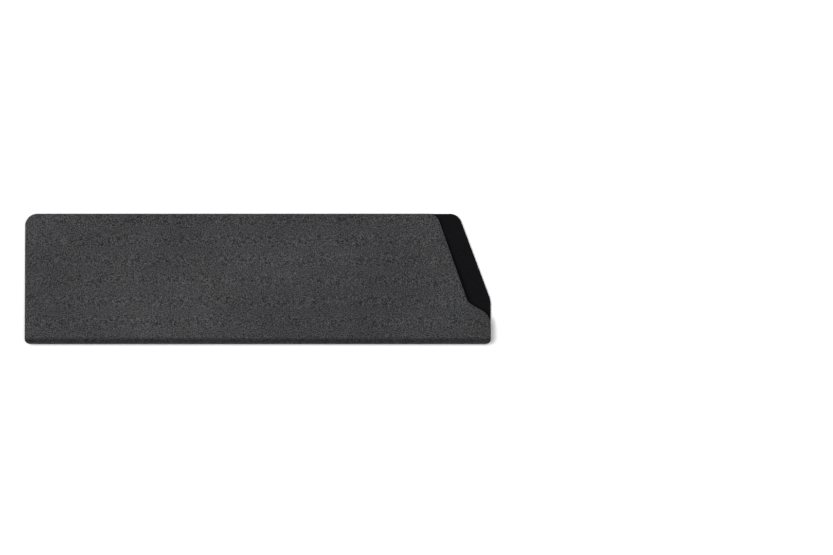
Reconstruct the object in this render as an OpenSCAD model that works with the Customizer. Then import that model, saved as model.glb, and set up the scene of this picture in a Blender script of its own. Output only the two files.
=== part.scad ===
// Folded blade guard: a textured plastic sheet, lined with felt, folded along one long edge.
// It lies on its back wall. X runs from the far end to the mouth, where the walls are cut back,
// Y from the fold to the open long edge, and Z up through the back wall, the slot and the front wall.

/* [Guard] */
// Length along the fold, from the far end to the mouth
guard_l = 198; // [120:1:320]
// Width from the outside of the fold to the open long edge
guard_w = 55.5; // [40:0.5:90]
// Radius of the corner where the far end meets the open edge
far_corner_r = 5.1; // [1:0.1:12]
// Radius of the corner where the open edge turns down to the mouth
mouth_corner_r = 5.1; // [1:0.1:8]

/* [Layers] */
// Thickness of the plastic sheet
sheet_t = 0.8; // [0.4:0.1:1.5]
// Thickness of the adhesive film under the felt
glue_t = 0.1; // [0.05:0.05:0.3]
// Thickness of the felt lining
felt_t = 0.8; // [0.4:0.1:2]

/* [Slot] */
// Width of the slot between the felts at the fold
slot_w = 3; // [2:0.1:6]
// Gap between the felts at the open long edge, where the walls spring together
edge_gap = 0.3; // [0.1:0.1:2]
// Radius that rounds the two ends of the fold, seen from above
fold_end_r = 2; // [0.5:0.1:4]

/* [Front wall at the mouth] */
// How far the front wall's open edge stops short of the mouth's end edge
front_setback = 23; // [16:0.5:60]
// How far the lip runs on past the inner corner of the cut
lip_reach = 9.7; // [6:0.1:14]
// Height of the lip's outer corner above the outside of the fold
lip_h = 12.2; // [10:0.1:18]
// Slope of the lip's shoulder, down towards the end edge
lip_slope = 30; // [10:1:45]
// Radius of the lip's outer corner
lip_r = 7.6; // [1:0.1:8]
// Radius of the inner corner between the slanted cut and the lip
notch_r = 6; // [1:0.1:8]

/* [Back wall at the mouth] */
// How far the back wall's open edge stops short of the mouth's end edge
back_setback = 13.8; // [8:0.1:50]
// Height above the outside of the fold where the slanted cut meets the end edge
back_cut_h = 18.7; // [10:0.1:30]
// Radius of the corner between the slanted cut and the end edge
back_corner_r = 12; // [1:0.5:20]

/* [Hidden] */
$fn = 96;

sheet_colour = "#434346";
felt_colour = "#151518";
glue_colour = "#b9b6a4";

// Straight steps that draw each rounded corner
corner_steps = 14;
// Angle at which the rounding at a fold end runs out onto the fold
run_out = 15;

// Radii of the fold, from the felt's face outwards
felt_r = slot_w / 2;
glue_r = felt_r + felt_t;
sheet_r = glue_r + glue_t;
fold_r = sheet_r + sheet_t;

end_x = guard_l / 2;
fold_y = -guard_w / 2;
open_y = guard_w / 2;

// Axis of the fold's curve: both walls start here and run towards the open edge
axis_y = fold_y + fold_r;
axis_z = fold_r;
wall_w = open_y - axis_y;

// Lean of the front wall, at which the felts close to edge_gap at the open edge:
// wall_w sin(lean) = felt_r + (felt_r - edge_gap) cos(lean), solved for the lean
lean_drop = felt_r - edge_gap;
lean = asin(felt_r / norm([wall_w, lean_drop])) + atan2(lean_drop, wall_w);

// Angles round the fold's axis where each wall starts, and of the crest halfway between them
front_start = 90 - lean;
back_start = 270;
crest = (front_start + back_start) / 2;

// Place on a wall, along the sheet from the end of the fold, of a height above the fold's outside
function on_back(h) = h - fold_r;
function on_front(h) = (h - fold_r - fold_r * sin(lean)) / cos(lean);

// Points that round corner b, between a and c, with radius r
function rounding(a, b, c, r) =
    let (to_a = (a - b) / norm(a - b))
    let (to_c = (c - b) / norm(c - b))
    let (half = acos(to_a * to_c) / 2)
    let (centre = b + (to_a + to_c) / norm(to_a + to_c) * r / sin(half))
    let (first = b + to_a * r / tan(half) - centre)
    let (last = b + to_c * r / tan(half) - centre)
    let (start = atan2(first.y, first.x))
    let (sweep = (atan2(last.y, last.x) - start + 540) % 360 - 180)
    [for (k = [0:corner_steps])
        let (turn = start + sweep * k / corner_steps)
        centre + r * [cos(turn), sin(turn)]];

// A closed outline through points, each corner rounded with its own radius, or sharp at 0
function outline(points, radii) =
    let (n = len(points))
    [for (i = [0:n - 1])
        each radii[i] == 0
            ? [points[i]]
            : rounding(points[(i + n - 1) % n], points[i], points[(i + 1) % n], radii[i])];

// The back wall's outline, from the end of the fold at y = 0
module back_outline() {
    top = on_back(guard_w);
    polygon(outline(
        [[-end_x, 0], [-end_x, top], [end_x - back_setback, top],
         [end_x, on_back(back_cut_h)], [end_x, 0]],
        [0, far_corner_r, mouth_corner_r, back_corner_r, 0]));
}

// The front wall's outline, with the slanted cut and the lip at the mouth
module front_outline() {
    top = on_front(guard_w);
    notch_h = lip_h + lip_reach * tan(lip_slope);
    polygon(outline(
        [[-end_x, 0], [-end_x, top], [end_x - front_setback, top],
         [end_x - lip_reach, on_front(notch_h)], [end_x, on_front(lip_h)], [end_x, 0]],
        [0, far_corner_r, mouth_corner_r, notch_r, lip_r, 0]));
}

// A layer of the back wall, whose outer side lies at radius r_out from the fold's axis
module back_layer(r_out, thickness) {
    translate([0, axis_y, axis_z - r_out])
        linear_extrude(thickness)
            back_outline();
}

// A layer of the front wall, leaning in towards the back wall
module front_layer(r_out, thickness) {
    translate([0, axis_y, axis_z])
        rotate([-lean, 0, 0])
            translate([0, 0, r_out - thickness])
                linear_extrude(thickness)
                    front_outline();
}

// Cross-section of a layer of the fold: the part of a ring from one angle to another
module fold_section(r_out, thickness, from, to) {
    far = 2 * r_out;
    intersection() {
        difference() {
            circle(r_out);
            circle(r_out - thickness);
        }
        polygon(concat([[0, 0]],
            [for (k = [0:3]) let (turn = from + (to - from) * k / 3) far * [cos(turn), sin(turn)]]));
    }
}

// The fold seen from above: both ends are rounded, and the long side stands clear of the fold
module fold_plan() {
    r = min(fold_end_r, fold_r);
    rise = r * tan(run_out);
    polygon(outline(
        [[-end_x, axis_y + fold_r], [-end_x, fold_y + rise], [2 * r - end_x, fold_y - rise],
         [end_x - 2 * r, fold_y - rise], [end_x, fold_y + rise], [end_x, axis_y + fold_r]],
        [0, r, 0, 0, r, 0]));
}

// A layer of the fold, round its axis, from one angle to another
module fold_layer(r_out, thickness, from, to) {
    intersection() {
        translate([-end_x, axis_y, axis_z])
            rotate([90, 0, 90])
                linear_extrude(guard_l)
                    fold_section(r_out, thickness, from, to);
        translate([0, 0, -fold_r])
            linear_extrude(4 * fold_r)
                fold_plan();
    }
}

// Plastic sheet
module back_panel() {
    color(sheet_colour) back_layer(fold_r, sheet_t);
}

module back_fold() {
    color(sheet_colour) fold_layer(fold_r, sheet_t, crest, back_start);
}

module front_fold() {
    color(sheet_colour) fold_layer(fold_r, sheet_t, front_start, crest);
}

module front_panel() {
    color(sheet_colour) front_layer(fold_r, sheet_t);
}

// Felt lining
module back_felt() {
    color(felt_colour) back_layer(glue_r, felt_t);
}

module spine_felt() {
    color(felt_colour) fold_layer(glue_r, felt_t, front_start, back_start);
}

module front_felt() {
    color(felt_colour) front_layer(glue_r, felt_t);
}

// Adhesive film between the sheet and the felt
module back_glue_film() {
    color(glue_colour) back_layer(sheet_r, glue_t);
}

module spine_glue_film() {
    color(glue_colour) fold_layer(sheet_r, glue_t, front_start, back_start);
}

module front_glue_film() {
    color(glue_colour) front_layer(sheet_r, glue_t);
}

back_panel();
back_fold();
front_fold();
front_panel();
back_felt();
spine_felt();
front_felt();
back_glue_film();
spine_glue_film();
front_glue_film();
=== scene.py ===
"""A folded blade guard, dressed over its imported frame: textured sheet, felt lining and adhesive film."""

import logging
import math
from collections.abc import Callable
from dataclasses import dataclass, field
from enum import Enum

import bmesh
import bpy
import numpy as np
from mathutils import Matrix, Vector


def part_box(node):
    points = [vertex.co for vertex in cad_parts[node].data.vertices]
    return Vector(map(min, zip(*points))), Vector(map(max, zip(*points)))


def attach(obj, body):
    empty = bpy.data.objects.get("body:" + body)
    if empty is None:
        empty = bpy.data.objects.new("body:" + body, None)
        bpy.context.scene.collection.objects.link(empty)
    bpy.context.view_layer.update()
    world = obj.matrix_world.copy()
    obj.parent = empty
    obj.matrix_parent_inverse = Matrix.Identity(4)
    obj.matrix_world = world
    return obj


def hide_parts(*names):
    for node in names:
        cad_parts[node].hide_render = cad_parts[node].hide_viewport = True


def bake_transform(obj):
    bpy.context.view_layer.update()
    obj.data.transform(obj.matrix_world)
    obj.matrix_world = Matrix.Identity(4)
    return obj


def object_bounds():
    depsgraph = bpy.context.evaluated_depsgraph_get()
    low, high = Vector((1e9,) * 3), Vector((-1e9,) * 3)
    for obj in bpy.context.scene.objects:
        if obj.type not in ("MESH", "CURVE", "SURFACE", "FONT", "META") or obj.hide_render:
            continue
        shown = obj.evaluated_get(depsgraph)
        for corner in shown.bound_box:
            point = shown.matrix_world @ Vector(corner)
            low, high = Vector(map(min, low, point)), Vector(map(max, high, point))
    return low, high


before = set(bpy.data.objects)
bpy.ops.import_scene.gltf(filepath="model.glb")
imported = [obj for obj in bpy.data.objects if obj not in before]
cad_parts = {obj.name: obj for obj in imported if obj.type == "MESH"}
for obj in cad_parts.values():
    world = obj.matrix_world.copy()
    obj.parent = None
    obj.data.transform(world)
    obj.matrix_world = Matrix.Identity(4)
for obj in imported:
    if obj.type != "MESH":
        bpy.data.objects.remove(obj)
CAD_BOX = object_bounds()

log = logging.getLogger("blade_guard")

MM = 0.001

Array = np.ndarray
Ripple = Callable[[Array, Array], Array]
Colour = tuple[float, float, float]


class Side(Enum):
    """The guard's two walls. The value is the way that each runs along the flat blank."""

    BACK = -1
    FRONT = 1


class Zone(Enum):
    """Faces of a piece that take materials of their own, by material slot."""

    FACE = 0
    CUT_EDGE = 1


@dataclass(frozen=True)
class GuardSizes:
    """Sizes of the folded guard in millimetres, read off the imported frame.

    Args:
        length: Length along the fold.
        width: From the outside of the fold to the open long edge.
        fold_r: Outer radius of the fold.
        sheet_t: Thickness of the plastic sheet.
        glue_t: Thickness of the adhesive film.
        felt_t: Thickness of the felt.
        edge_gap: Gap between the felts at the open long edge.
    """

    length: float
    width: float
    fold_r: float
    sheet_t: float
    glue_t: float
    felt_t: float
    edge_gap: float

    @classmethod
    def from_frame(cls) -> "GuardSizes":
        """Measures the sizes on the boxes of the CAD nodes.

        Returns:
            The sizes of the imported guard.
        """
        panel, film, felt = (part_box(n) for n in ("back_panel", "back_glue_film", "back_felt"))
        low, high = CAD_BOX
        return cls(
            length=(high.x - low.x) / MM,
            width=(high.y - low.y) / MM,
            fold_r=(high.y - low.y - (panel[1][1] - panel[0][1])) / MM,
            sheet_t=(panel[1][2] - panel[0][2]) / MM,
            glue_t=(film[1][2] - film[0][2]) / MM,
            felt_t=(felt[1][2] - felt[0][2]) / MM,
            edge_gap=(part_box("front_felt")[0][2] - felt[1][2]) / MM,
        )

    @property
    def end_x(self) -> float:
        """Half the length, where both ends lie."""
        return self.length / 2

    @property
    def axis_y(self) -> float:
        """Y of the fold's axis, where both walls start."""
        return self.fold_r - self.width / 2

    @property
    def felt_r(self) -> float:
        """Radius of the felt's face inside the fold, half the slot there."""
        return self.fold_r - self.sheet_t - self.glue_t - self.felt_t

    @property
    def lean(self) -> float:
        """Lean of the front wall in radians, at which the felts close to edge_gap at the open edge."""
        run, drop = self.width - self.fold_r, self.felt_r - self.edge_gap
        return math.asin(self.felt_r / math.hypot(run, drop)) + math.atan2(drop, run)

    def wall_height(self, side: Side, height: float) -> float:
        """Place on a wall, along the sheet from the end of the fold, of a height above the fold's outside.

        Args:
            side: The wall.
            height: Height above the outside of the fold, as seen square to the back wall.

        Returns:
            The distance along the sheet.
        """
        if side is Side.BACK:
            return height - self.fold_r
        return (height - self.fold_r - self.fold_r * math.sin(self.lean)) / math.cos(self.lean)


def unit(way: Array) -> Array:
    """A direction, brought to length 1."""
    return way / np.linalg.norm(way)


def grid_quads(grid: Array) -> Array:
    """The four-sided faces between neighbours on a grid of vertex numbers."""
    return np.stack([grid[:-1, :-1], grid[1:, :-1], grid[1:, 1:], grid[:-1, 1:]], -1).reshape(-1, 4)


@dataclass(frozen=True)
class Corner:
    """One corner of an outline, and the radius that rounds it, in millimetres."""

    x: float
    v: float
    radius: float


@dataclass(frozen=True)
class WallOutline:
    """The cut edge of one wall, from the far end over the open edge and down the mouth.

    Args:
        sizes: The guard's sizes.
        side: The wall.
        far_corner_r: Radius where the far end meets the open edge.
        mouth_corner_r: Radius where the open edge turns down to the mouth.
        front_setback: How far the front wall's open edge stops short of the mouth's end edge.
        lip_reach: How far the lip runs on past the inner corner of the cut.
        lip_h: Height of the lip's outer corner above the outside of the fold.
        lip_slope: Slope of the lip's shoulder in degrees.
        lip_r: Radius of the lip's outer corner.
        notch_r: Radius of the inner corner between the slanted cut and the lip.
        back_setback: How far the back wall's open edge stops short of the mouth's end edge.
        back_cut_h: Height where the back wall's slanted cut meets the end edge.
        back_corner_r: Radius of that corner.
    """

    sizes: GuardSizes
    side: Side
    far_corner_r: float = 5.1
    mouth_corner_r: float = 5.1
    front_setback: float = 23.0
    lip_reach: float = 9.7
    lip_h: float = 12.2
    lip_slope: float = 30.0
    lip_r: float = 7.6
    notch_r: float = 6.0
    back_setback: float = 13.8
    back_cut_h: float = 18.7
    back_corner_r: float = 12.0

    def corners(self) -> list[Corner]:
        """The outline's corners, from the far end to the mouth's end edge.

        Returns:
            The corners in order, without the two ends of the fold.
        """
        end, top = self.sizes.end_x, self.sizes.wall_height(self.side, self.sizes.width)
        far = Corner(-end, top, self.far_corner_r)
        if self.side is Side.BACK:
            cut = self.sizes.wall_height(self.side, self.back_cut_h)
            return [far, Corner(end - self.back_setback, top, self.mouth_corner_r),
                    Corner(end, cut, self.back_corner_r)]
        rise = self.lip_reach * math.tan(math.radians(self.lip_slope))
        notch, lip = (self.sizes.wall_height(self.side, h) for h in (self.lip_h + rise, self.lip_h))
        return [far, Corner(end - self.front_setback, top, self.mouth_corner_r),
                Corner(end - self.lip_reach, notch, self.notch_r), Corner(end, lip, self.lip_r)]

    def edge(self, spacing: float, corner_steps: int) -> tuple[Array, Array]:
        """Points along the cut edge, with the direction out of the sheet at each.

        Each corner is an arc: centre plus radius times (cos, sin) of an angle that runs evenly from one
        tangent point to the other. Between corners the edge is straight, with points at even spacing.

        Args:
            spacing: Longest step along the straight stretches.
            corner_steps: Steps round each corner.

        Returns:
            The points and their outward unit normals, each as rows of (x, v).
        """
        corners = self.corners()
        path = np.array([[corners[0].x, 0.0]] + [[c.x, c.v] for c in corners] + [[corners[-1].x, 0.0]])
        points, normals = [], []
        for before, at, after, corner in zip(path, path[1:], path[2:], corners):
            to_a, to_c = unit(before - at), unit(after - at)
            half = math.acos(float(to_a @ to_c)) / 2
            centre = at + unit(to_a + to_c) * corner.radius / math.sin(half)
            first = at + to_a * corner.radius / math.tan(half) - centre
            last = at + to_c * corner.radius / math.tan(half) - centre
            start = math.atan2(first[1], first[0])
            sweep = (math.atan2(last[1], last[0]) - start + 3 * math.pi) % (2 * math.pi) - math.pi
            turn = start + sweep * np.linspace(0, 1, corner_steps + 1)
            round_it = np.stack([np.cos(turn), np.sin(turn)], 1)
            arc, outward = centre + corner.radius * round_it, -math.copysign(1, sweep) * round_it
            if points:
                gap = arc[0] - points[-1][-1]
                steps = max(1, math.ceil(np.linalg.norm(gap) / spacing))
                share = np.linspace(0, 1, steps + 1)[1:-1, None]
                points.append(points[-1][-1] + share * gap)
                normals.append(np.repeat(outward[:1], len(share), 0))
            points.append(arc)
            normals.append(outward)
        return np.concatenate(points), np.concatenate(normals)


@dataclass(frozen=True)
class Layer:
    """One layer of the blank, sheet, film or felt, folded round the fold's axis.

    A place on the layer is (x, u, h): x along the fold, u across the flat blank and h the distance from
    the fold's axis. u is negative on the back wall, runs from 0 to arc round the fold, and goes on
    along the front wall.

    Args:
        sizes: The guard's sizes.
        r_out: Distance of the layer's outer side from the fold's axis.
        thickness: The layer's thickness.
    """

    sizes: GuardSizes
    r_out: float
    thickness: float

    @property
    def r_mid(self) -> float:
        """Radius of the layer's middle, at which u is measured round the fold."""
        return self.r_out - self.thickness / 2

    @property
    def arc(self) -> float:
        """Length of the layer's middle round the fold."""
        return self.r_mid * (math.pi + self.sizes.lean)

    def place(self, x: Array, u: Array, h: Array) -> Array:
        """Folds places on the flat layer into space.

        Round the fold the place is the axis plus h times (cos a, sin a), where a falls from 270 degrees by
        u over r_mid. On the walls the same sum stays at the fold's end, and the rest of u is added along
        the wall: +Y on the back wall, and +Y turned down by the lean on the front wall.

        Args:
            x: Places along the fold.
            u: Places across the blank.
            h: Distances from the fold's axis.

        Returns:
            Points in metres, as rows of (x, y, z).
        """
        s, lean = self.sizes, self.sizes.lean
        angle = 1.5 * math.pi - np.clip(u, 0, self.arc) / self.r_mid
        on_back, on_front = np.maximum(-u, 0), np.maximum(u - self.arc, 0)
        y = s.axis_y + h * np.cos(angle) + on_back + on_front * math.cos(lean)
        z = s.fold_r + h * np.sin(angle) - on_front * math.sin(lean)
        return np.stack([x + 0 * y, y, z], -1) * MM


@dataclass(frozen=True)
class Rim:
    """How a cut edge is rounded: radii at the layer's outer and inner side, in mm, and steps in each."""

    outer: float
    inner: float
    steps: int = 4


@dataclass
class Patch:
    """A stretch of a layer with square seams and rounded cut edges, before it becomes a closed mesh.

    Args:
        flat: Gives the face's grid of (x, u) places, drawn in from its cut edge by a distance.
        edge_cells: Grid cells (i, j) along each stretch of cut edge, in order.
        edge_points: Their places (x, u) on the cut edge itself.
        edge_normals: Directions out of the sheet there.
        seams: Rows j that are cut square, where the layer runs on in the next piece.
    """

    flat: Callable[[float], Array]
    edge_cells: list[Array]
    edge_points: list[Array]
    edge_normals: list[Array]
    seams: list[int]


def wall_patch(layer: Layer, outline: WallOutline, start: float, inset: float,
               spacing: float, rows: int, corner_steps: int = 20) -> Patch:
    """The stretch of a layer on one wall.

    Column i of the grid runs straight from the seam, at v = start, to the i-th point of the cut edge,
    in even steps.

    Args:
        layer: The layer.
        outline: The wall's cut edge.
        start: Distance of the seam from the end of the fold.
        inset: How far this layer's own edge lies inside the outline.
        spacing: Longest step along the cut edge's straight stretches.
        rows: Steps from the seam to the cut edge.
        corner_steps: Steps round each corner.

    Returns:
        The patch.
    """
    points, normals = outline.edge(spacing, corner_steps)
    share = np.linspace(0, 1, rows + 1)

    def to_u(v: Array) -> Array:
        """Turns a height on the wall into a place across the blank."""
        return -v if outline.side is Side.BACK else layer.arc + v

    def flat(draw_in: float) -> Array:
        """The grid with its cut edge drawn in.

        Args:
            draw_in: How far the edge is drawn in, in mm.

        Returns:
            The places (x, u) of the grid.
        """
        top = points - (inset + draw_in) * normals
        v = start + share[None, :] * (top[:, 1:] - start)
        return np.stack([np.repeat(top[:, :1], rows + 1, 1), to_u(v)], -1)

    columns, grid = len(points) - 1, flat(0.0)
    up, along = np.arange(rows), np.arange(columns + 1)
    cells = np.concatenate([
        np.stack([0 * up, up], 1),
        np.stack([along, 0 * along + rows], 1),
        np.stack([0 * up + columns, up[::-1]], 1),
    ])
    far_end, mouth = np.repeat(normals[:1], rows, 0), np.repeat(normals[-1:], rows, 0)
    outward = np.concatenate([far_end, normals, mouth]) * [1, outline.side.value]
    return Patch(flat, [cells], [grid[cells[:, 0], cells[:, 1]]], [outward], [0])


def fold_patch(layer: Layer, reach: float, inset: float, end_r: float = 2.0, run_out: float = 15.0,
               columns: int = 48, rows: int = 96, corner_rows: int = 24) -> Patch:
    """The stretch of a layer round the fold, with both ends rounded as seen from above.

    Seen from above, the end edge drops straight, turns through an arc of radius end_r and runs out onto
    the fold at run_out degrees. The end's x is read off that line at the y of the layer's outer side.
    Rows lie at u = arc times (1 - cos(pi k / rows)) / 2, close together where the fold runs into the walls.

    Args:
        layer: The layer.
        reach: How far the piece goes on along each wall.
        inset: How far this layer's own end lies inside the outline.
        end_r: Radius that rounds the fold's ends, in mm.
        run_out: Angle at which the rounding runs out, in degrees.
        columns: Steps along the fold.
        rows: Steps round the fold.
        corner_rows: Steps of the end line's arc.

    Returns:
        The patch.
    """
    s, slope = layer.sizes, math.radians(run_out)
    bend = layer.arc * (1 - np.cos(np.pi * np.arange(rows + 1) / rows)) / 2
    u = np.concatenate([[-reach], bend, [layer.arc + reach]]) if reach else bend
    turn = np.linspace(0, math.pi / 2 - slope, corner_rows + 1)
    rise = end_r * math.tan(slope)
    arc_y = rise + end_r * math.tan((math.pi / 2 - slope) / 2) - end_r * np.sin(turn)
    arc_x = s.end_x - end_r + end_r * np.cos(turn)
    line_y = np.concatenate([[-rise], arc_y[::-1], [s.width]])
    line_x = np.concatenate([[s.end_x - 2 * end_r], arc_x[::-1], [s.end_x]])
    outside = layer.place(0 * u, u, s.fold_r + 0 * u)[:, 1] / MM + s.width / 2
    end = np.interp(outside, line_y, line_x) - inset
    slant = np.gradient(end, u)

    def flat(draw_in: float) -> Array:
        """The grid with both ends drawn in."""
        share = np.linspace(-1, 1, columns + 1)[:, None]
        return np.stack([share * (end - draw_in)[None, :], np.repeat(u[None, :], columns + 1, 0)], -1)

    count = np.arange(len(u))
    right = np.stack([np.ones_like(u), -slant], 1) / np.hypot(1, slant)[:, None]
    return Patch(
        flat,
        [np.stack([0 * count, count], 1), np.stack([0 * count + columns, count], 1)],
        [np.stack([-end, u], 1), np.stack([end, u], 1)],
        [right * [-1, 1], right],
        [0, len(u) - 1],
    )


def closed_layer(patch: Patch, layer: Layer, rim: Rim,
                 ripple: Ripple | None = None) -> tuple[Array, list[Array], Array]:
    """Closes a patch of a layer into a solid skin.

    The two faces are the patch's grid at the layer's outer and inner distance. Round each cut edge the
    skin is a quarter arc, then straight, then a quarter arc: at angle t an arc lies r (1 - sin t) inside
    the cut edge and r (1 - cos t) below its face. Each seam is closed square.

    Args:
        patch: The stretch of the layer.
        layer: The layer.
        rim: Rounding of the cut edges.
        ripple: Change of h in mm at places (x, u), or None for flat faces.

    Returns:
        The vertices in metres, the faces as arrays of equal-sided rows, and each face's zone.
    """
    h_out, h_in = layer.r_out, layer.r_out - layer.thickness
    outer, inner = patch.flat(rim.outer), patch.flat(rim.inner)
    columns, rows = outer.shape[0], outer.shape[1]
    per_face = columns * rows

    def lift(flat: Array, h: Array) -> Array:
        """Folds a grid of places into space, with the ripple added.

        Args:
            flat: The places (x, u).
            h: The distance from the fold's axis at each.

        Returns:
            Points in metres, as rows of (x, y, z).
        """
        x, u = flat[..., 0].ravel(), flat[..., 1].ravel()
        return layer.place(x, u, h.ravel() + (ripple(x, u) if ripple else 0.0))

    blocks = [lift(outer, np.full(per_face, h_out)), lift(inner, np.full(per_face, h_in))]
    cell = np.arange(per_face).reshape(columns, rows)
    quads = grid_quads(cell)
    faces, zones = [quads, quads[:, ::-1] + per_face], [Zone.FACE] * 2
    total = 2 * per_face

    quarter = np.linspace(0, math.pi / 2, rim.steps + 1)
    falling, rising = quarter[1:], quarter[:0:-1]
    inward = np.concatenate([rim.outer * (1 - np.sin(falling)), rim.inner * (1 - np.sin(rising))])
    depth = np.concatenate([rim.outer * (1 - np.cos(falling)),
                            layer.thickness - rim.inner * (1 - np.cos(rising))])
    ends = []
    for cells, points, normals in zip(patch.edge_cells, patch.edge_points, patch.edge_normals):
        ring = points[:, None, :] - inward[None, :, None] * normals[:, None, :]
        blocks.append(lift(ring, np.repeat(h_out - depth[None, :], len(points), 0)))
        place = total + np.arange(ring.shape[0] * ring.shape[1]).reshape(ring.shape[:2])
        total += place.size
        face = cell[cells[:, 0], cells[:, 1]]
        strip = np.concatenate([face[:, None], place, face[:, None] + per_face], 1)
        faces.append(grid_quads(strip))
        zones.append(Zone.CUT_EDGE)
        ends += [(cells[0], strip[0]), (cells[-1], strip[-1])]
    for row in patch.seams:
        line = cell[:, row]
        faces.append(grid_quads(np.stack([line, line + per_face], 1)))
        zones.append(Zone.CUT_EDGE)
        for at, strip in ends:
            if at[1] == row:
                faces.append(strip[None, :])
                zones.append(Zone.CUT_EDGE)
    zone_of_face = np.concatenate([np.full(len(f), z.value) for f, z in zip(faces, zones)])
    return np.concatenate(blocks), faces, zone_of_face


def make_piece(name: str, vertices: Array, faces: list[Array], zones: Array,
               materials: list[bpy.types.Material], sharp_from: float = 50.0) -> bpy.types.Object:
    """Puts a closed skin into a new object, with its faces turned outwards.

    Args:
        name: The piece's name.
        vertices: Points in metres.
        faces: Arrays of equal-sided faces.
        zones: The material slot of each face.
        materials: The materials, in slot order.
        sharp_from: Edges that turn by more than this many degrees stay sharp.

    Returns:
        The new object.
    """
    mesh = bpy.data.meshes.new(name)
    mesh.from_pydata(vertices.tolist(), [], [f for rows in faces for f in rows.tolist()])
    mesh.polygons.foreach_set("material_index", zones.astype(np.int32))
    work = bmesh.new()
    work.from_mesh(mesh)
    bmesh.ops.remove_doubles(work, verts=work.verts, dist=1e-8)
    bmesh.ops.recalc_face_normals(work, faces=work.faces)
    work.to_mesh(mesh)
    work.free()
    mesh.polygons.foreach_set("use_smooth", np.ones(len(mesh.polygons), bool))
    mesh.set_sharp_from_angle(angle=math.radians(sharp_from))
    for material in materials:
        mesh.materials.append(material)
    piece = bpy.data.objects.new(name, mesh)
    bpy.context.scene.collection.objects.link(piece)
    return piece


class NodeTree:
    """A material's nodes, added and joined in a few words each."""

    def __init__(self, name: str) -> None:
        """Starts a material with an output and the piece's own coordinates.

        Args:
            name: The material's name.
        """
        self.material = bpy.data.materials.new(name)
        self.material.use_nodes = True
        self.tree = self.material.node_tree
        self.tree.nodes.clear()
        self.output = self.tree.nodes.new("ShaderNodeOutputMaterial")
        self.place = self.add("TexCoord").outputs["Object"]

    def add(self, kind: str, **settings: object) -> bpy.types.Node:
        """Adds a node.

        Args:
            kind: The node's type, without the leading ShaderNode.
            settings: Attributes, or socket values under the socket's name with underscores for spaces.

        Returns:
            The node.
        """
        node = self.tree.nodes.new("ShaderNode" + kind)
        for key, value in settings.items():
            if hasattr(node, key):
                setattr(node, key, value)
            else:
                node.inputs[key.replace("_", " ")].default_value = value
        return node

    def join(self, out: bpy.types.NodeSocket, into: bpy.types.NodeSocket) -> None:
        """Joins an output to an input."""
        self.tree.links.new(out, into)

    def noise(self, per_metre: float, detail: float, place: bpy.types.NodeSocket | None = None,
              **settings: object) -> bpy.types.NodeSocket:
        """Adds a noise.

        Args:
            per_metre: How many swells it has in a metre.
            detail: How many finer layers lie on it.
            place: The coordinates that it follows, or None for the piece's own.
            settings: Other socket values, as add takes them.

        Returns:
            Its value, around 0.5.
        """
        texture = self.add("TexNoise", Scale=per_metre, Detail=detail, **settings)
        self.join(self.place if place is None else place, texture.inputs["Vector"])
        return texture.outputs["Fac"]

    def surface(self, tone: bpy.types.Node, relief: bpy.types.Node, **settings: object) -> bpy.types.Node:
        """Adds the shader of a solid surface and joins it to the output.

        Args:
            tone: The colour ramp that colours it.
            relief: The bump that it carries.
            settings: Other socket values, as add takes them.

        Returns:
            The shader's node.
        """
        shader = self.add("BsdfPrincipled", **settings)
        self.join(tone.outputs["Color"], shader.inputs["Base Color"])
        self.join(relief.outputs["Normal"], shader.inputs["Normal"])
        self.join(shader.outputs["BSDF"], self.output.inputs["Surface"])
        return shader

    def ramp(self, fac: bpy.types.NodeSocket, low: float, high: float,
             dark: tuple[float, ...], light: tuple[float, ...]) -> bpy.types.Node:
        """Adds a colour ramp.

        Args:
            fac: What runs along it.
            low: Position of the dark end.
            high: Position of the light end.
            dark: Linear RGB at the low end.
            light: Linear RGB at the high end.

        Returns:
            The ramp's node.
        """
        ramp = self.add("ValToRGB")
        ramp.color_ramp.elements[0].position, ramp.color_ramp.elements[1].position = low, high
        ramp.color_ramp.elements[0].color = (*dark, 1.0)
        ramp.color_ramp.elements[1].color = (*light, 1.0)
        self.join(fac, ramp.inputs["Fac"])
        return ramp

    def range(self, value: bpy.types.NodeSocket, low: float, high: float, to_low: float,
              to_high: float) -> bpy.types.Node:
        """Adds a node that maps a value from one range to another.

        Args:
            value: What is mapped.
            low: Start of the range that it has.
            high: End of that range.
            to_low: Start of the range that it gets.
            to_high: End of that range.

        Returns:
            The node.
        """
        node = self.add("MapRange", From_Min=low, From_Max=high, To_Min=to_low, To_Max=to_high)
        self.join(value, node.inputs["Value"])
        return node

    def bump(self, height: bpy.types.NodeSocket, strength: float, distance: float,
             under: bpy.types.Node | None = None) -> bpy.types.Node:
        """Adds a bump.

        Args:
            height: The height, from 0 to 1.
            strength: The bump's strength.
            distance: The depth in metres that 1 stands for.
            under: A bump that this one is added to.

        Returns:
            The bump's node.
        """
        bump = self.add("Bump", Strength=strength, Distance=distance)
        self.join(height, bump.inputs["Height"])
        if under is not None:
            self.join(under.outputs["Normal"], bump.inputs["Normal"])
        return bump


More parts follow.
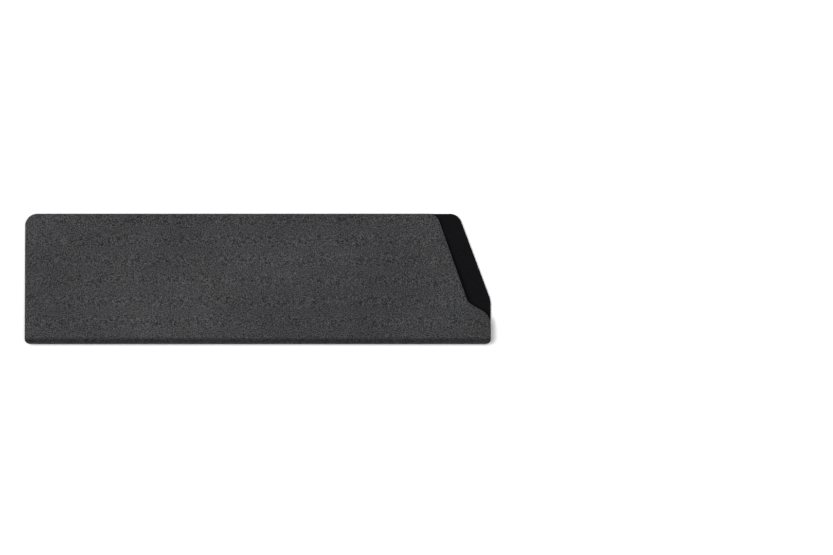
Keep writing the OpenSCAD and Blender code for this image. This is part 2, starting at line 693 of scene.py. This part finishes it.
@dataclass(frozen=True)
class GrainedSheet:
    """Dark plastic sheet with a fine embossed sand grain, whose tips catch the light.

    The grain's height is a coarse noise, one swell to a grain, with a share of a finer one; the colour paints
    shade in its pits and a highlight on its tips.

    Args:
        pit_painted_shade: Linear colour down between the grains, darkened there as painted shade.
        tip_painted_highlight: Linear colour on the grains' tips, lightened there as a painted highlight.
        heights: The noise's values that count as a pit and as a tip.
        grain: Width of a grain in mm.
        finer: How many times finer the second noise is.
        fine_share: That noise's share of the height.
        depth: Height of the grain in mm.
        roughness: Roughness of the plastic.
        uneven: How far that rises and falls from place to place.
        patch_w: Width of such a place in mm.
        shine: Strength of its shine between the grains and on their tips, 0.5 for plain smooth plastic.
    """

    pit_painted_shade: Colour = (0.001, 0.001, 0.0014)
    tip_painted_highlight: Colour = (0.034, 0.034, 0.0375)
    heights: tuple[float, float] = (0.40, 0.64)
    grain: float = 0.45
    finer: float = 2.3
    fine_share: float = 0.4
    depth: float = 0.05
    roughness: float = 0.60
    uneven: float = 0.04
    patch_w: float = 35.7
    shine: tuple[float, float] = (0.02, 0.55)

    def build(self) -> bpy.types.Material:
        """Builds the material.

        Returns:
            The material.
        """
        t = NodeTree("grained_sheet")
        mix = t.add("Mix", data_type="FLOAT")
        mix.inputs["Factor"].default_value = self.fine_share
        t.join(t.noise(1 / (self.grain * MM), 2.0, Roughness=0.6), mix.inputs["A"])
        t.join(t.noise(self.finer / (self.grain * MM), 1.0), mix.inputs["B"])
        height = mix.outputs["Result"]
        low, high = self.heights
        # The ramp paints shade into the grain's pits and a highlight onto its tips, in the base colour.
        shader = t.surface(t.ramp(height, low, high, self.pit_painted_shade, self.tip_painted_highlight), t.bump(height, 0.8, self.depth * MM))
        sparkle = t.range(height, low, high, *self.shine)
        t.join(sparkle.outputs["Result"], shader.inputs["Specular IOR Level"])
        smooth, rough = self.roughness - self.uneven, self.roughness + self.uneven
        patchy = t.range(t.noise(1 / (self.patch_w * MM), 2.0), 0.3, 0.7, smooth, rough)
        t.join(patchy.outputs["Result"], shader.inputs["Roughness"])
        return t.material


@dataclass(frozen=True)
class CutPlastic:
    """The same plastic where the die has cut it: smoother, with a faint drag of the die.

    Args:
        colour: Its linear colour.
        spread: How far the drag lightens and darkens it, as a share.
        drag_w: Width of a mark of the drag in mm.
        drag_depth: Depth of a mark in mm.
        roughness: Its roughness.
        shine: Strength of its shine, 0.5 for plain smooth plastic.
    """

    colour: Colour = (0.018, 0.018, 0.019)
    spread: float = 0.2
    drag_w: float = 0.4
    drag_depth: float = 0.01
    roughness: float = 0.5
    shine: float = 0.35

    def build(self) -> bpy.types.Material:
        """Builds the material.

        Returns:
            The material.
        """
        t = NodeTree("cut_plastic")
        drag = t.noise(1 / (self.drag_w * MM), 1.0)
        dark = tuple((1 - self.spread) * c for c in self.colour)
        light = tuple((1 + self.spread) * c for c in self.colour)
        t.surface(t.ramp(drag, 0.3, 0.7, dark, light), t.bump(drag, 0.3, self.drag_depth * MM),
                  Roughness=self.roughness, Specular_IOR_Level=self.shine)
        return t.material


@dataclass(frozen=True)
class BlackFelt:
    """Needled felt: matted fibres that run every way, deep black, with a faint pale bloom at a low angle.

    Args:
        deep_painted_shade: Linear colour between the fibres, darkened there as painted shade.
        fibre: Linear colour of the fibres on top.
        fibre_w: Width of a tuft of fibres in mm.
        lays: Direction in radians, and how slender the tufts are, of each way that the fibres run.
        fibre_depth: Height of the fibres in mm.
        mat_w: Width of a matted spot in mm.
        mat_depth: Height of a matted spot in mm.
    """

    deep_painted_shade: Colour = (0.0016, 0.0016, 0.0020)
    fibre: Colour = (0.0075, 0.0075, 0.0088)
    fibre_w: float = 0.35
    lays: tuple[tuple[float, float], ...] = ((0.5, 5.0), (1.9, 4.0), (-0.7, 4.5))
    fibre_depth: float = 0.12
    mat_w: float = 2.5
    mat_depth: float = 0.2

    def build(self) -> bpy.types.Material:
        """Builds the material.

        Returns:
            The material.
        """
        t = NodeTree("black_felt")
        heights = []
        for turn, slender in self.lays:
            lay = t.add("Mapping", Rotation=(0.0, 0.0, turn), Scale=(1.0, slender, 1.0))
            t.join(t.place, lay.inputs["Vector"])
            per_metre = 0.5 / (self.fibre_w * MM)
            heights.append(t.noise(per_metre, 3.0, lay.outputs["Vector"], Distortion=1.5))
        top = heights[0]
        for other in heights[1:]:
            highest = t.add("Math", operation="MAXIMUM")
            t.join(top, highest.inputs[0])
            t.join(other, highest.inputs[1])
            top = highest.outputs["Value"]
        matted = t.bump(t.noise(1 / (self.mat_w * MM), 2.0), 0.4, self.mat_depth * MM)
        relief = t.bump(top, 0.8, self.fibre_depth * MM, matted)
        # The ramp paints shade between the fibres, darker where the fibre height is low.
        t.surface(t.ramp(top, 0.45, 0.75, self.deep_painted_shade, self.fibre), relief,
                  Roughness=0.95, Specular_IOR_Level=0.08,
                  Sheen_Weight=0.06, Sheen_Roughness=0.5, Sheen_Tint=(0.5, 0.5, 0.55, 1.0))
        return t.material


@dataclass(frozen=True)
class AdhesiveFilm:
    """Hot-melt film pressed between the sheet and the felt, dark with the black on both sides of it.

    Args:
        thin: Its linear colour where it is thin.
        thick: Its linear colour where it has pooled.
        flow_per_m: How many pools it has in a metre.
        depth: Height of a pool in mm.
    """

    thin: Colour = (0.012, 0.011, 0.010)
    thick: Colour = (0.030, 0.027, 0.022)
    flow_per_m: float = 300.0
    depth: float = 0.03

    def build(self) -> bpy.types.Material:
        """Builds the material.

        Returns:
            The material.
        """
        t = NodeTree("adhesive_film")
        flow = t.noise(self.flow_per_m, 2.0)
        t.surface(t.ramp(flow, 0.35, 0.65, self.thin, self.thick), t.bump(flow, 0.3, self.depth * MM),
                  Roughness=0.35, Specular_IOR_Level=0.4)
        return t.material


@dataclass
class FoldedSheet:
    """The plastic sheet: two walls and the fold between them.

    Args:
        sizes: The guard's sizes.
        rim: Rounding of the die-cut edges.
        spacing: Longest step along the cut edges in mm.
        finishes: Its materials, for its faces and its cut edges, once it is built.
    """

    sizes: GuardSizes
    rim: Rim = Rim(outer=0.22, inner=0.08)
    spacing: float = 6.0
    finishes: list[bpy.types.Material] = field(default_factory=list)

    @property
    def layer(self) -> Layer:
        """The sheet's layer, outermost of all."""
        return Layer(self.sizes, self.sizes.fold_r, self.sizes.sheet_t)

    def build(self) -> list[bpy.types.Object]:
        """Builds and dresses both walls and the fold.

        Returns:
            The pieces.
        """
        self.finishes = [GrainedSheet().build(), CutPlastic().build()]
        return [self.wall(Side.BACK), self.fold(), self.wall(Side.FRONT)]

    def wall(self, side: Side) -> bpy.types.Object:
        """Builds one wall, rigid on its own body.

        Args:
            side: The wall.

        Returns:
            The piece.
        """
        name = side.name.lower()
        patch = wall_patch(self.layer, WallOutline(self.sizes, side), 0.0, 0.0, self.spacing, rows=6)
        piece = make_piece(f"{name}_wall", *closed_layer(patch, self.layer, self.rim), self.finishes)
        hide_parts(f"{name}_panel")
        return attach(piece, name)

    def fold(self) -> bpy.types.Object:
        """Builds the fold, which bends between the two walls.

        Returns:
            The piece.
        """
        patch = fold_patch(self.layer, reach=0.0, inset=0.0)
        piece = make_piece("spine_fold", *closed_layer(patch, self.layer, self.rim), self.finishes)
        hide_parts("back_fold", "front_fold")
        return bend_at_fold(piece, self.layer, 0.0)


@dataclass
class GlueFilm:
    """The adhesive film under the felt.

    Args:
        sizes: The guard's sizes.
        inset: How far the film's edge lies inside the sheet's.
        rim: Rounding of the film's cut edge.
        spacing: Longest step along the cut edges in mm.
        finishes: Its materials, for its faces and its cut edges, once it is built.
    """

    sizes: GuardSizes
    inset: float = 0.12
    rim: Rim = Rim(outer=0.02, inner=0.02, steps=2)
    spacing: float = 6.0
    finishes: list[bpy.types.Material] = field(default_factory=list)

    @property
    def layer(self) -> Layer:
        """The film's layer, inside the sheet."""
        return Layer(self.sizes, self.sizes.fold_r - self.sizes.sheet_t, self.sizes.glue_t)

    def build(self) -> list[bpy.types.Object]:
        """Builds and dresses the film on both walls and round the fold.

        Returns:
            The pieces.
        """
        self.finishes = [AdhesiveFilm().build()] * 2
        pieces = [self.wall(Side.BACK), self.wall(Side.FRONT), self.fold()]
        return pieces

    def wall(self, side: Side) -> bpy.types.Object:
        """Builds the film on one wall.

        Args:
            side: The wall.

        Returns:
            The piece.
        """
        name, outline = side.name.lower(), WallOutline(self.sizes, side)
        patch = wall_patch(self.layer, outline, 0.0, self.inset, self.spacing, rows=4)
        piece = make_piece(f"{name}_film", *closed_layer(patch, self.layer, self.rim), self.finishes)
        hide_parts(f"{name}_glue_film")
        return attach(piece, name)

    def fold(self) -> bpy.types.Object:
        """Builds the film round the fold.

        Returns:
            The piece.
        """
        patch = fold_patch(self.layer, reach=0.0, inset=self.inset)
        piece = make_piece("spine_film", *closed_layer(patch, self.layer, self.rim), self.finishes)
        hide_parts("spine_glue_film")
        return bend_at_fold(piece, self.layer, 0.0)


@dataclass
class FeltLining:
    """The felt lining, one cut of felt that covers both walls and the inside of the fold.

    Args:
        sizes: The guard's sizes.
        inset: How far the felt's edge lies inside the sheet's.
        turn: How far the fold's piece goes on along each wall before the wall's own piece starts.
        rim: Rounding of the felt's cut edge.
        spacing: Longest step along the cut edges in mm.
        ripple_mm: Height of the soft unevenness of the felt's faces.
        waves: How many waves make up that unevenness.
        wave_l: Shortest and longest of them in mm.
        seed: Seed of their directions, lengths and phases.
        finishes: Its materials, for its faces and its cut edges, once it is built.
    """

    sizes: GuardSizes
    inset: float = 0.1
    turn: float = 4.0
    rim: Rim = Rim(outer=0.1, inner=0.25)
    spacing: float = 1.2
    ripple_mm: float = 0.03
    waves: int = 12
    wave_l: tuple[float, float] = (2.5, 11.0)
    seed: int = 11
    finishes: list[bpy.types.Material] = field(default_factory=list)

    @property
    def layer(self) -> Layer:
        """The felt's layer, innermost of all."""
        return Layer(self.sizes, self.sizes.felt_r + self.sizes.felt_t, self.sizes.felt_t)

    def build(self) -> list[bpy.types.Object]:
        """Returns:
            The pieces.
        """
        self.finishes = [BlackFelt().build()] * 2
        return [self.wall(Side.BACK), self.fold(), self.wall(Side.FRONT)]

    def ripple(self, x: Array, u: Array) -> Array:
        """Soft unevenness of the felt: a sum of cosine waves, each with its own direction, length and phase.

        Args:
            x: Places along the fold in mm.
            u: Places across the blank in mm.

        Returns:
            The height at each place in mm, none of it over ripple_mm.
        """
        draw = np.random.default_rng(self.seed)
        way, phase = draw.uniform(0, 2 * np.pi, (2, self.waves))
        per_mm = 2 * np.pi / draw.uniform(*self.wave_l, self.waves)
        swell = np.cos((x[..., None] * np.cos(way) + u[..., None] * np.sin(way)) * per_mm + phase)
        return self.ripple_mm * swell.mean(-1)

    def wall(self, side: Side) -> bpy.types.Object:
        """Builds the felt on one wall.

        Args:
            side: The wall.

        Returns:
            The piece.
        """
        name, outline = side.name.lower(), WallOutline(self.sizes, side)
        patch = wall_patch(self.layer, outline, self.turn, self.inset, self.spacing, rows=40)
        skin = closed_layer(patch, self.layer, self.rim, self.ripple)
        piece = make_piece(f"{name}_lining", *skin, self.finishes)
        flat = patch.flat(0.0)
        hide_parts(f"{name}_felt")
        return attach(piece, name)

    def fold(self) -> bpy.types.Object:
        """Builds the felt round the inside of the fold.

        Returns:
            The piece.
        """
        patch = fold_patch(self.layer, reach=self.turn, inset=self.inset, columns=120)
        skin = closed_layer(patch, self.layer, self.rim, self.ripple)
        piece = make_piece("spine_lining", *skin, self.finishes)
        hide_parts("spine_felt")
        return bend_at_fold(piece, self.layer, self.turn)


def bend_at_fold(piece: bpy.types.Object, layer: Layer, reach: float) -> bpy.types.Object:
    """Bakes a piece round the fold into its world transform.

    The places where it meets the walls' inner sides are worked out, but nothing uses them.

    Args:
        piece: The piece round the fold.
        layer: Its layer.
        reach: How far it goes on along each wall, in mm.

    Returns:
        The piece.
    """
    inner = np.full(1, layer.r_out - layer.thickness)
    low, high = (layer.place(np.zeros(1), np.array([u]), inner)[0]
                 for u in (-reach, layer.arc + reach))
    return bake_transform(piece)


@dataclass(frozen=True)
class Softbox:
    """A rectangular soft light that looks at the guard.

    Args:
        name: The light's name.
        place: Its place in metres.
        size: Its width and height in metres.
        power: Its power in watts.
    """

    name: str
    place: tuple[float, float, float]
    size: tuple[float, float]
    power: float

    def build(self) -> None:
        """Makes the light."""
        data = bpy.data.lights.new(self.name, "AREA")
        data.shape, data.energy = "RECTANGLE", self.power
        data.size, data.size_y = self.size
        lamp = bpy.data.objects.new(self.name, data)
        lamp.location = self.place
        lamp.rotation_euler = (-Vector(self.place)).to_track_quat("-Z", "Y").to_euler()
        bpy.context.scene.collection.objects.link(lamp)


@dataclass(frozen=True)
class Studio:
    """Pale floor, soft light from overhead, and a long lens square over the guard.

    Args:
        view_w: Width in mm of what the picture shows at the front wall.
        centre_x: X in mm at the picture's centre.
        centre_y: Y in mm at the picture's centre.
        distance: Height of the camera in m.
        ambient: Strength of the surroundings as a light.
        lights: The soft lights.
    """

    view_w: float = 353.6
    centre_x: float = 67.4
    centre_y: float = 0.62
    distance: float = 1.7
    ambient: float = 0.08
    lights: tuple[Softbox, ...] = (
        Softbox("key_light", (-0.6, 0.15, 1.85), (1.0, 0.9), 34.0),
        Softbox("fill_light", (0.45, 0.12, 1.9), (0.9, 0.9), 17.0),
    )

    def camera(self, subject_z: float) -> None:
        """Makes the camera, with the lens that shows view_w at the front wall.

        Args:
            subject_z: Height of the front wall in metres.
        """
        data = bpy.data.cameras.new("camera")
        data.sensor_width = 36.0
        data.lens = data.sensor_width * self.distance / (self.view_w * MM)
        data.clip_end = 20.0
        camera = bpy.data.objects.new("camera", data)
        camera.location = (self.centre_x * MM, self.centre_y * MM, subject_z + self.distance)
        bpy.context.scene.collection.objects.link(camera)
        bpy.context.scene.camera = camera

    def world(self) -> None:
        """Makes the surroundings: white where the camera sees them, dim as a light."""
        world = bpy.data.worlds.new("studio")
        world.use_nodes = True
        nodes, links = world.node_tree.nodes, world.node_tree.links
        nodes.clear()
        path, dim, white = (nodes.new(k) for k in (
            "ShaderNodeLightPath", "ShaderNodeBackground", "ShaderNodeBackground"))
        mix, out = nodes.new("ShaderNodeMixShader"), nodes.new("ShaderNodeOutputWorld")
        dim.inputs["Strength"].default_value = self.ambient
        for background in (dim, white):
            background.inputs["Color"].default_value = (1.0, 1.0, 1.0, 1.0)
        links.new(path.outputs["Is Camera Ray"], mix.inputs["Fac"])
        links.new(dim.outputs["Background"], mix.inputs[1])
        links.new(white.outputs["Background"], mix.inputs[2])
        links.new(mix.outputs["Shader"], out.inputs["Surface"])
        bpy.context.scene.world = world

    def floor(self, half: float = 8.0, lit_to: float = 0.16, white_from: float = 0.42) -> None:
        """Makes the floor: lit near the guard, so that it keeps the shadow, and plain white further out.

        Args:
            half: Half its width in metres.
            lit_to: Distance from the guard's centre up to which it is only lit.
            white_from: Distance from which it is plain white to the camera.
        """
        corners = np.array([[-1, -1, 0], [1, -1, 0], [1, 1, 0], [-1, 1, 0]], float) * half
        mesh = bpy.data.meshes.new("floor")
        mesh.from_pydata(corners.tolist(), [], [(0, 1, 2, 3)])
        t = NodeTree("pale_floor")
        path = t.add("LightPath")
        far = t.add("VectorMath", operation="LENGTH")
        t.join(t.place, far.inputs[0])
        fade = t.range(far.outputs["Value"], lit_to, white_from, 0.0, 1.0)
        fade.interpolation_type = "SMOOTHSTEP"
        seen = t.add("Math", operation="MULTIPLY")
        t.join(path.outputs["Is Camera Ray"], seen.inputs[0])
        t.join(fade.outputs["Result"], seen.inputs[1])
        pale = t.add("BsdfDiffuse", Color=(0.93, 0.93, 0.93, 1.0))
        dim = t.add("BsdfDiffuse", Color=(0.35, 0.35, 0.35, 1.0))
        glow = t.add("Emission", Color=(1.0, 1.0, 1.0, 1.0), Strength=1.0)
        bounce, ground = t.add("MixShader"), t.add("MixShader")
        t.join(path.outputs["Is Diffuse Ray"], bounce.inputs["Fac"])
        t.join(pale.outputs["BSDF"], bounce.inputs[1])
        t.join(dim.outputs["BSDF"], bounce.inputs[2])
        t.join(seen.outputs["Value"], ground.inputs["Fac"])
        t.join(bounce.outputs["Shader"], ground.inputs[1])
        t.join(glow.outputs["Emission"], ground.inputs[2])
        t.join(ground.outputs["Shader"], t.output.inputs["Surface"])
        mesh.materials.append(t.material)
        floor = bpy.data.objects.new("floor", mesh)
        bpy.context.scene.collection.objects.link(floor)

    def build(self, subject_z: float) -> None:
        """Builds the whole studio round the guard.

        Args:
            subject_z: Height of the front wall in metres.
        """
        bpy.context.scene.view_settings.view_transform = "Standard"
        self.camera(subject_z)
        self.world()
        for light in self.lights:
            light.build()
        self.floor()


def main() -> None:
    """Builds the studio and every piece."""
    logging.basicConfig(level=logging.INFO, format="%(name)s: %(message)s")
    sizes = GuardSizes.from_frame()
    log.info("sizes in mm: %s, lean %.3f degrees", sizes, math.degrees(sizes.lean))
    Studio().build(subject_z=2 * sizes.fold_r * MM)
    for part in (FoldedSheet(sizes), GlueFilm(sizes), FeltLining(sizes)):
        for piece in part.build():
            log.info("%s: %d faces", piece.name, len(piece.data.polygons))


if __name__ == "__main__":
    main()
